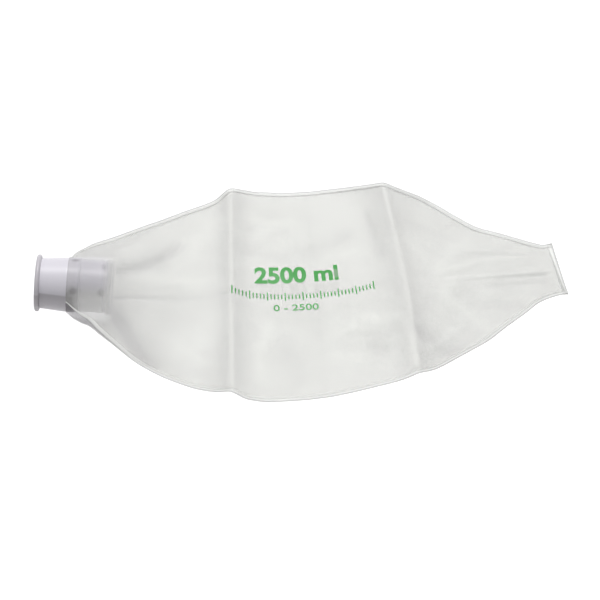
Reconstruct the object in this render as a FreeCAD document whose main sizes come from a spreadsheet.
# Oxygen reservoir bag for a hand-operated resuscitator, lying half slack on a flat surface.
#
# Two sheets of soft film are welded together round their edge into a long bag that narrows at both
# ends. One end is bonded round a moulded neck tube with a beaded mouth, and the other is welded
# shut. The bag was packed folded in three, so two raised creases cross it, and each is a hinge:
# everything between the mouth and the first crease is one rigid group, the panel between the
# creases is the second and the tail is the third.
#
# Frame: origin at the centre of the tube's mouth, +X along the neck towards the tail, +Z up.
# The surface that the bag lies on touches the mouth bead. Lengths are in millimetres.

import FreeCAD, Part
import Sketcher
import math
import os

from FreeCAD import Placement, Rotation, Vector

PARTS = "parts"

# Driving dimensions, each an aliased cell of the sheet. Angles are in degrees.
SIZES = {
    # neck tube
    "bore_radius": 16.2,        # the port that the bag is pushed on to
    "bore_length": 22.0,        # how far that bore runs in from the mouth
    "inner_bore_radius": 17.0,  # the wider bore behind it
    "tube_radius": 19.2,        # outside, where the film is bonded
    "tube_length": 54.0,        # from the mouth to the inner end
    "collar_radius": 17.7,      # outside, just behind the mouth bead
    "bead_proud": 2.5,          # how far the mouth bead stands out of the collar
    "bead_section": 1.7,        # radius of the bead's round section
    "waist_depth": 0.7,         # how much thinner the tube is between the bond and its inner end
    "end_land": 4.0,            # length of the full-diameter land at the inner end
    "end_round": 1.0,           # rounding of the inner end
    # film and welds
    "film": 0.4,                # thickness of one sheet
    "weld_width": 3.6,          # the welded border round the bag
    "weld_gap": 0.05,           # left between neighbouring solids of the same film
    "seam_gap": 0.4,            # the same, beside the curved seams
    "cuff_start": 22.8,         # where the film's edge lies on the tube
    "cuff_length": 7.6,         # the film bonded flat on the tube
    # the bag
    "neck_crease": 137.5,       # distance along the centre line to the first crease
    "tail_crease": 258.0,       # to the second crease
    "tail_end": 372.0,          # to the cut end of the tail
    "half_width": 100.0,        # from the centre line to the weld, at the widest place
    "tail_half_width": 22.5,    # at the tail's end
    "crease_gap": 0.6,          # split between the groups that fold
    "rest_gap": 0.3,            # between the film's lowest line and the surface under the bag
    "tube_gap": 0.4,            # between the film and the tube that it is draped over
    # how the bag lies
    "bow_turn": 20.0,           # past the tube the centre line turns this far towards +Y
    "sidestep": 9.5,            # and the bag lies this far to +Y of it, its film pushed askew
    "neck_crease_lift": 7.5,    # height of the film's underside at the first crease
    "tail_crease_lift": 12.5,   # and at the second
    "crease_crown": 3.6,        # upper film above the seam at a crease
    "crease_depth": 2.4,        # lower film below the seam at a crease
    "upper_puff": 5.6,          # upper film above the seam, mid-panel
    "lower_puff": 4.0,          # lower film below the seam, mid-panel
    "tail_puff": 0.8,           # both, where the tail's weld starts
}


def size(name):
    """The cell of a driving dimension, as an expression."""
    return f"Sizes.{name}"


document = FreeCAD.newDocument("reservoir_bag")
sheet = document.addObject("Spreadsheet::Sheet", "Sizes")
for row, (name, value) in enumerate(SIZES.items(), start=1):
    sheet.set(f"A{row}", name)
    sheet.set(f"B{row}", str(value))
    sheet.setAlias(f"B{row}", name)
document.recompute()


def worked_out(expression):
    """What an expression on the sheet's cells comes to now."""
    value = sheet.evalExpression(expression)
    return float(getattr(value, "Value", value))


# ------------------------------------------------------------------ bodies and sketches

def new_body(label):
    body = document.addObject("PartDesign::Body", label)
    body.Label = label
    return body


def origin_plane(body, role):
    return next(f for f in body.Origin.OriginFeatures if f.Role == role)


def new_sketch(body, name, role):
    sketch = body.newObject("Sketcher::SketchObject", name)
    sketch.AttachmentSupport = [(origin_plane(body, role), "")]
    sketch.MapMode = "FlatFace"
    return sketch


def drive(sketch, number, name, expression):
    """Names a constraint and binds it to the sheet."""
    sketch.renameConstraint(number, name)
    sketch.setExpression(f"Constraints.{name}", expression)


ORIGIN = (-1, 1)
X_AXIS = -1
Y_AXIS = -2
START, END, CENTRE = 1, 2, 3


def drive_distance(sketch, kind, first, second, name, expression):
    """Sets the distance from one point to another, first to second, and binds it to the sheet."""
    value = worked_out(expression)
    number = sketch.addConstraint(Sketcher.Constraint(kind, *first, *second, value))
    drive(sketch, number, name, expression)


# ------------------------------------------------------------------ stations along the bag

class Station:
    """A cross-section of the bag: how far along the centre line it lies, and its sizes there.

    Each size is an expression: half_width from the centre line to the weld, seam the weld's
    height, crown the upper film's rise above it and depth the lower film's fall below it.
    askew is the share of the sidestep that the section has taken.
    """

    def __init__(self, along, half_width, seam, crown, depth, askew=1):
        self.along = along
        self.half_width = half_width
        self.seam = seam
        self.crown = crown
        self.depth = depth
        self.askew = askew


BEAD_RADIUS = f"({size('collar_radius')} + {size('bead_proud')})"
CUFF_RADIUS = f"({size('tube_radius')} + {size('film')})"
SURFACE = f"(-max({BEAD_RADIUS}; {CUFF_RADIUS} + {size('rest_gap')}))"
LOWEST_FILM = f"({SURFACE} + {size('rest_gap')} + {size('film')})"
BOW_START = size("tube_length")
BOW_LENGTH = f"({size('tail_end')} - {BOW_START})"
BOW_RADIUS = f"({BOW_LENGTH} * 180 / pi / {size('bow_turn')})"


def between(first, second, share):
    """A point between two expressions."""
    return f"({first} + {share} * ({second} - {first}))"


def turn_at(along):
    """How far the centre line has turned at that distance, in degrees."""
    return f"({size('bow_turn')} * max(0; {along} - {BOW_START}) / {BOW_LENGTH})"


def place_section(sketch, station):
    """Stands a sketch square across the centre line, with its own origin at the seam's height."""
    turn = turn_at(station.along)
    run = f"min({station.along}; {BOW_START}) + {BOW_RADIUS} * sin({turn})"
    aside = f"{BOW_RADIUS} * (1 - cos({turn})) + {station.askew} * {size('sidestep')}"
    base = Vector(worked_out(aside), worked_out(station.seam), worked_out(run))
    angle = worked_out(turn)
    sketch.AttachmentOffset = Placement(base, Rotation(Vector(0, 1, 0), angle))
    sketch.setExpression("AttachmentOffset.Base.x", aside)
    sketch.setExpression("AttachmentOffset.Base.y", station.seam)
    sketch.setExpression("AttachmentOffset.Base.z", run)
    if angle > 0:
        sketch.setExpression("AttachmentOffset.Rotation.Angle", turn)


def on_film(depth):
    """The seam's height where the lower film hangs that far below it and meets the surface."""
    return f"({LOWEST_FILM} + {depth})"


HALF = size("half_width")
CUFF_END = f"({size('cuff_start')} + {size('cuff_length')})"
OVER_TUBE = f"({size('tube_radius')} + {size('tube_gap')})"
TAIL_WELD = f"({size('tail_end')} - {size('weld_width')})"
NECK_RUN = (CUFF_END, size("neck_crease"))
MIDDLE_RUN = (size("neck_crease"), size("tail_crease"))
TAIL_RUN = (size("tail_crease"), TAIL_WELD)
TUBE_END = size("tube_length")


def crease_station(crease, side, width_share):
    """The section on one side (-1 or 1) of the gap at the neck's or the tail's crease."""
    along = f"({size(crease)} + {side} * {size('crease_gap')} / 2)"
    underside = f"({SURFACE} + {size(crease + '_lift')})"
    seam = f"({underside} + {size('film')} + {size('crease_depth')})"
    return Station(along, f"{HALF} * {width_share}", seam, size("crease_crown"), size("crease_depth"))


def panel_station(along, width_share, puff_share, depth_share, askew=1):
    depth = f"({size('lower_puff')} * {depth_share})"
    crown = f"({size('upper_puff')} * {puff_share})"
    return Station(along, f"{HALF} * {width_share}", on_film(depth), crown, depth, askew)


def draped_station(along, width_share, seam, askew):
    """A section where the film is held open by the tube inside it."""
    half_width = f"({OVER_TUBE} + {width_share} * ({HALF} - {OVER_TUBE}))"
    return Station(along, half_width, seam, f"({OVER_TUBE} - {seam})", f"({OVER_TUBE} + {seam})", askew)


# The film leaves the cuff as a tube, spreads past the end of the neck tube and sinks to the surface.
NECK_STATIONS = [
    draped_station(f"({CUFF_END} + {size('weld_gap')})", 0, "0", 0),
    draped_station(between(CUFF_END, TUBE_END, 0.45), 0.21, f"(-0.13 * {size('tube_radius')})", 0.25),
    draped_station(f"({TUBE_END} + 3)", 0.425, f"(-0.31 * {size('tube_radius')})", 0.38),
    panel_station(between(TUBE_END, size("neck_crease"), 0.38), 0.7, 3.6, 1.25, 0.65),
    panel_station(between(TUBE_END, size("neck_crease"), 0.69), 0.86, 1.9, 1.0, 0.93),
    crease_station("neck_crease", -1, 0.965),
]
MIDDLE_STATIONS = [
    crease_station("neck_crease", 1, 0.965),
    panel_station(between(*MIDDLE_RUN, 0.2), 0.995, 1.1, 1.0),
    panel_station(between(*MIDDLE_RUN, 0.5), 1.0, 1.0, 1.0),
    panel_station(between(*MIDDLE_RUN, 0.8), 0.94, 1.1, 1.0),
    crease_station("tail_crease", -1, 0.875),
]
TAIL_STATIONS = [
    crease_station("tail_crease", 1, 0.875),
    panel_station(between(*TAIL_RUN, 0.22), 0.785, 1.3, 1.0),
    panel_station(between(*TAIL_RUN, 0.46), 0.605, 1.1, 0.9),
    panel_station(between(*TAIL_RUN, 0.72), 0.385, 0.75, 0.75),
    Station(f"{TAIL_WELD} - {size('weld_gap')}", size("tail_half_width"), on_film(size("tail_puff")),
            size("tail_puff"), size("tail_puff")),
]
THIRDS = {"neck": NECK_STATIONS, "middle": MIDDLE_STATIONS, "tail": TAIL_STATIONS}


# ------------------------------------------------------------------ film and edge welds

def film_sketch(body, name, station, rise, upward):
    """One sheet's section: a band one film thick between two arcs that share their centre."""
    sketch = new_sketch(body, name, "YZ_Plane")
    place_section(sketch, station)
    half, high, film = (worked_out(e) for e in (station.half_width, rise, size("film")))
    radius = (half * half + high * high) / (2 * high)
    sign = 1 if upward else -1
    centre = Vector(0, sign * (high - radius), 0)
    reach = math.atan2(radius - high, half)
    if upward:
        angles = (reach, math.pi - reach)
    else:
        angles = (math.pi + reach, 2 * math.pi - reach)
    arcs = []
    for r in (radius, radius + film):
        arcs.append(sketch.addGeometry(Part.ArcOfCircle(Part.Circle(centre, Vector(0, 0, 1), r), *angles)))
    inner, outer = arcs
    ends = []
    for point in (START, END):
        line = Part.LineSegment(sketch.getPoint(inner, point), sketch.getPoint(outer, point))
        ends.append((sketch.addGeometry(line), point))
    tops = []
    for height in (high, high + film):
        tops.append(sketch.addGeometry(Part.Point(Vector(0, sign * height, 0)), True))
    constraints = [
        Sketcher.Constraint("Coincident", inner, CENTRE, outer, CENTRE),
        Sketcher.Constraint("PointOnObject", inner, CENTRE, Y_AXIS),
        Sketcher.Constraint("PointOnObject", inner, START, X_AXIS),
        Sketcher.Constraint("PointOnObject", inner, END, X_AXIS),
    ]
    for line, point in ends:
        constraints.append(Sketcher.Constraint("Coincident", line, START, inner, point))
        constraints.append(Sketcher.Constraint("Coincident", line, END, outer, point))
        constraints.append(Sketcher.Constraint("PointOnObject", inner, CENTRE, line))
    for top, arc in zip(tops, arcs):
        constraints.append(Sketcher.Constraint("PointOnObject", top, START, arc))
        constraints.append(Sketcher.Constraint("PointOnObject", top, START, Y_AXIS))
    sketch.addConstraint(constraints)
    right = (inner, START if upward else END)
    drive_distance(sketch, "DistanceX", ORIGIN, right, "half_width", station.half_width)
    for top, label, extra in ((tops[0], "rise", "0"), (tops[1], "outer_rise", size("film"))):
        points = (ORIGIN, (top, START)) if upward else ((top, START), ORIGIN)
        drive_distance(sketch, "DistanceY", *points, label, f"{rise} + {extra}")
    return sketch


def weld_sketch(body, name, station, side):
    """The welded border's section, beside the seam: both films thick, on the +Y or the -Y side."""
    sketch = new_sketch(body, name, "YZ_Plane")
    place_section(sketch, station)
    start = f"({station.half_width} + {size('film')} + {size('seam_gap')})"
    inside = side * worked_out(start)
    outside = inside + side * worked_out(size("weld_width"))
    thick = worked_out(size("film"))
    corners = [Vector(x, y, 0) for x, y in
               ((inside, -thick), (outside, -thick), (outside, thick), (inside, thick))]
    lines = [sketch.addGeometry(Part.LineSegment(a, b)) for a, b in zip(corners, corners[1:] + corners[:1])]
    constraints = []
    for line, following in zip(lines, lines[1:] + lines[:1]):
        constraints.append(Sketcher.Constraint("Coincident", line, END, following, START))
    for line, kind in zip(lines, ("Horizontal", "Vertical", "Horizontal", "Vertical")):
        constraints.append(Sketcher.Constraint(kind, line))
    sketch.addConstraint(constraints)
    in_low, out_low, in_high = (lines[0], START), (lines[0], END), (lines[2], END)
    order = 1 if side > 0 else -1
    drive_distance(sketch, "DistanceX", *(ORIGIN, in_low)[::order], "inner_edge", start)
    drive_distance(sketch, "DistanceX", *(in_low, out_low)[::order], "width", size("weld_width"))
    drive_distance(sketch, "DistanceY", in_low, ORIGIN, "below", size("film"))
    drive_distance(sketch, "DistanceY", ORIGIN, in_high, "above", size("film"))
    return sketch


def loft(label, sketches, body):
    feature = body.newObject("PartDesign::AdditiveLoft", f"{label}_loft")
    feature.Profile = sketches[0]
    feature.Sections = sketches[1:]
    feature.Ruled = False
    for sketch in sketches:
        sketch.Visibility = False
    return body


def film_panel(label, stations, upward):
    body = new_body(label)
    sketches = []
    for number, station in enumerate(stations):
        rise = station.crown if upward else station.depth
        sketches.append(film_sketch(body, f"{label}_section_{number}", station, rise, upward))
    return loft(label, sketches, body)


def edge_weld(label, stations, side):
    body = new_body(label)
    sketches = [weld_sketch(body, f"{label}_section_{number}", station, side)
                for number, station in enumerate(stations)]
    return loft(label, sketches, body)


for third, stations in THIRDS.items():
    film_panel(f"upper_film_{third}", stations, True)
    film_panel(f"lower_film_{third}", stations, False)
    edge_weld(f"far_edge_weld_{third}", stations, 1)
    edge_weld(f"near_edge_weld_{third}", stations, -1)


# ------------------------------------------------------------------ tail weld

def tail_weld():
    """The flat weld that closes the tail, from one edge weld's outer side to the other's."""
    body = new_body("tail_weld")
    sketch = new_sketch(body, "tail_weld_section", "YZ_Plane")
    place_section(sketch, Station(f"{TAIL_WELD} + {size('weld_gap')}", size("tail_half_width"),
                                  on_film(size("tail_puff")), "0", "0"))
    reach = f"({size('tail_half_width')} + {size('film')} + {size('seam_gap')} + {size('weld_width')})"
    wide, thick = worked_out(reach), worked_out(size("film"))
    corners = [Vector(x, y, 0) for x, y in ((-wide, -thick), (wide, -thick), (wide, thick), (-wide, thick))]
    lines = [sketch.addGeometry(Part.LineSegment(a, b)) for a, b in zip(corners, corners[1:] + corners[:1])]
    constraints = []
    for line, following in zip(lines, lines[1:] + lines[:1]):
        constraints.append(Sketcher.Constraint("Coincident", line, END, following, START))
    for line, kind in zip(lines, ("Horizontal", "Vertical", "Horizontal", "Vertical")):
        constraints.append(Sketcher.Constraint(kind, line))
    constraints.append(Sketcher.Constraint("Symmetric", lines[0], START, lines[2], START, *ORIGIN))
    sketch.addConstraint(constraints)
    drive_distance(sketch, "DistanceX", (lines[0], START), (lines[0], END), "length", f"2 * {reach}")
    drive_distance(sketch, "DistanceY", (lines[1], START), (lines[1], END), "thickness", f"2 * {size('film')}")
    pad = body.newObject("PartDesign::Pad", "tail_weld_pad")
    pad.Profile = sketch
    pad.setExpression("Length", f"{size('weld_width')} - {size('weld_gap')}")
    return body


tail_weld()


# ------------------------------------------------------------------ neck tube and cuff

def neck_tube():
    """Moulded tube: a round bead at the mouth, a conical collar, a land that the film is bonded to,
    a thinner waist and a rounded land at the inner end. It is turned from one half-section."""
    body = new_body("neck_tube")
    sketch = new_sketch(body, "neck_tube_profile", "XZ_Plane")
    bead = size("bead_section")
    bead_height = f"({BEAD_RADIUS} - {bead})"
    waist = f"({size('tube_radius')} - {size('waist_depth')})"
    step = size("waist_depth")
    waist_start = f"({CUFF_END} + 1)"
    waist_end = f"({TUBE_END} - {size('end_land')} - {step})"
    end_round = size("end_round")
    outline = [  # along the axis, from the axis
        ("mouth_inner", "0", size("bore_radius")),
        ("mouth_outer", "0", bead_height),
        ("bead_back", f"2 * {bead}", bead_height),
        ("collar_start", f"2 * {bead}", size("collar_radius")),
        ("land_start", size("bore_length"), size("tube_radius")),
        ("land_end", waist_start, size("tube_radius")),
        ("waist_start", f"{waist_start} + {step}", waist),
        ("waist_end", waist_end, waist),
        ("end_land", f"{waist_end} + {step}", size("tube_radius")),
        ("end_rounding", f"{TUBE_END} - {end_round}", size("tube_radius")),
        ("end_outer", TUBE_END, f"{size('tube_radius')} - {end_round}"),
        ("end_inner", TUBE_END, size("inner_bore_radius")),
        ("inner_bore", f"{size('bore_length')} + 2", size("inner_bore_radius")),
        ("bore_end", size("bore_length"), size("bore_radius")),
    ]
    points = [Vector(worked_out(x), worked_out(y), 0) for _, x, y in outline]
    arcs = ("mouth_outer", "end_rounding")
    lines = []
    for (name, *_), a, b in zip(outline, points, points[1:] + points[:1]):
        if name == "mouth_outer":
            circle = Part.Circle((a + b) / 2, Vector(0, 0, 1), a.distanceToPoint(b) / 2)
            curve = Part.ArcOfCircle(circle, 0, math.pi)
        elif name == "end_rounding":
            circle = Part.Circle(Vector(a.x, b.y, 0), Vector(0, 0, 1), b.x - a.x)
            curve = Part.ArcOfCircle(circle, 0, math.pi / 2)
        else:
            curve = Part.LineSegment(a, b)
        lines.append(sketch.addGeometry(curve))
    names = [name for name, *_ in outline]

    def corner(name):
        """The sketch point at a named corner: an arc drawn clockwise starts at its far end."""
        number = names.index(name)
        return lines[number], (END if name in arcs else START)

    def far_corner(name):
        number = names.index(name)
        return lines[number], (START if name in arcs else END)

    constraints = []
    for name, following in zip(names, names[1:] + names[:1]):
        constraints.append(Sketcher.Constraint("Coincident", *far_corner(name), *corner(following)))
    sketch.addConstraint(constraints)
    for name, x, y in outline:
        point = corner(name)
        if x == "0":
            sketch.addConstraint(Sketcher.Constraint("PointOnObject", *point, Y_AXIS))
        else:
            drive_distance(sketch, "DistanceX", ORIGIN, point, f"{name}_x", x)
        drive_distance(sketch, "DistanceY", ORIGIN, point, f"{name}_y", y)
    for name, height in (("mouth_outer", bead_height), ("end_rounding", f"({size('tube_radius')} - {end_round})")):
        centre = (lines[names.index(name)], CENTRE)
        drive_distance(sketch, "DistanceY", ORIGIN, centre, f"{name}_centre", height)
    turned = body.newObject("PartDesign::Revolution", "neck_tube_turned")
    turned.Profile = sketch
    turned.ReferenceAxis = (sketch, ["H_Axis"])
    turned.Angle = 360
    return body


def neck_cuff():
    """The end of both films, bonded round the tube."""
    body = new_body("neck_cuff")
    sketch = new_sketch(body, "neck_cuff_section", "YZ_Plane")
    inside = f"({size('tube_radius')} + {size('weld_gap')} / 2)"
    for name, expression in (("inside", inside), ("outside", f"{inside} + {size('film')}")):
        circle = sketch.addGeometry(Part.Circle(Vector(0, 0, 0), Vector(0, 0, 1), worked_out(expression)))
        sketch.addConstraint(Sketcher.Constraint("Coincident", circle, CENTRE, *ORIGIN))
        number = sketch.addConstraint(Sketcher.Constraint("Radius", circle, worked_out(expression)))
        drive(sketch, number, name, expression)
    sketch.AttachmentOffset = Placement(Vector(0, 0, SIZES["cuff_start"]), Rotation())
    sketch.setExpression("AttachmentOffset.Base.z", size("cuff_start"))
    pad = body.newObject("PartDesign::Pad", "neck_cuff_pad")
    pad.Profile = sketch
    pad.setExpression("Length", size("cuff_length"))
    return body


neck_tube()
neck_cuff()


# ------------------------------------------------------------------ checks and export

document.recompute()
faults = [f"{o.Label}: {o.State}" for o in document.Objects if {"Invalid", "Error"} & set(o.State)]
if faults:
    raise RuntimeError("objects that failed: " + "; ".join(faults))

os.makedirs(PARTS, exist_ok=True)
for body in document.findObjects("PartDesign::Body"):
    shape = body.Shape
    if shape.isNull() or not shape.isValid() or not shape.Solids:
        raise RuntimeError(f"{body.Label} has no valid solid")
    shape.exportStep(os.path.join(PARTS, f"{body.Label}.step"))
    box = shape.BoundBox
    print(f"{body.Label:24s} {shape.Volume:10.1f} mm3  X {box.XMin:7.2f} {box.XMax:7.2f}"
          f"  Y {box.YMin:7.2f} {box.YMax:7.2f}  Z {box.ZMin:7.2f} {box.ZMax:7.2f}")

for crease in ("neck_crease", "tail_crease"):
    turn = worked_out(turn_at(size(crease)))
    x = worked_out(BOW_START) + worked_out(BOW_RADIUS) * math.sin(math.radians(turn))
    y = worked_out(BOW_RADIUS) * (1 - math.cos(math.radians(turn))) + SIZES["sidestep"]
    z = worked_out(SURFACE) + SIZES[crease + "_lift"]
    print(f"{crease}: turned {turn:.3f} degrees, centre at {x:.3f}, {y:.3f}, underside at {z:.3f}")
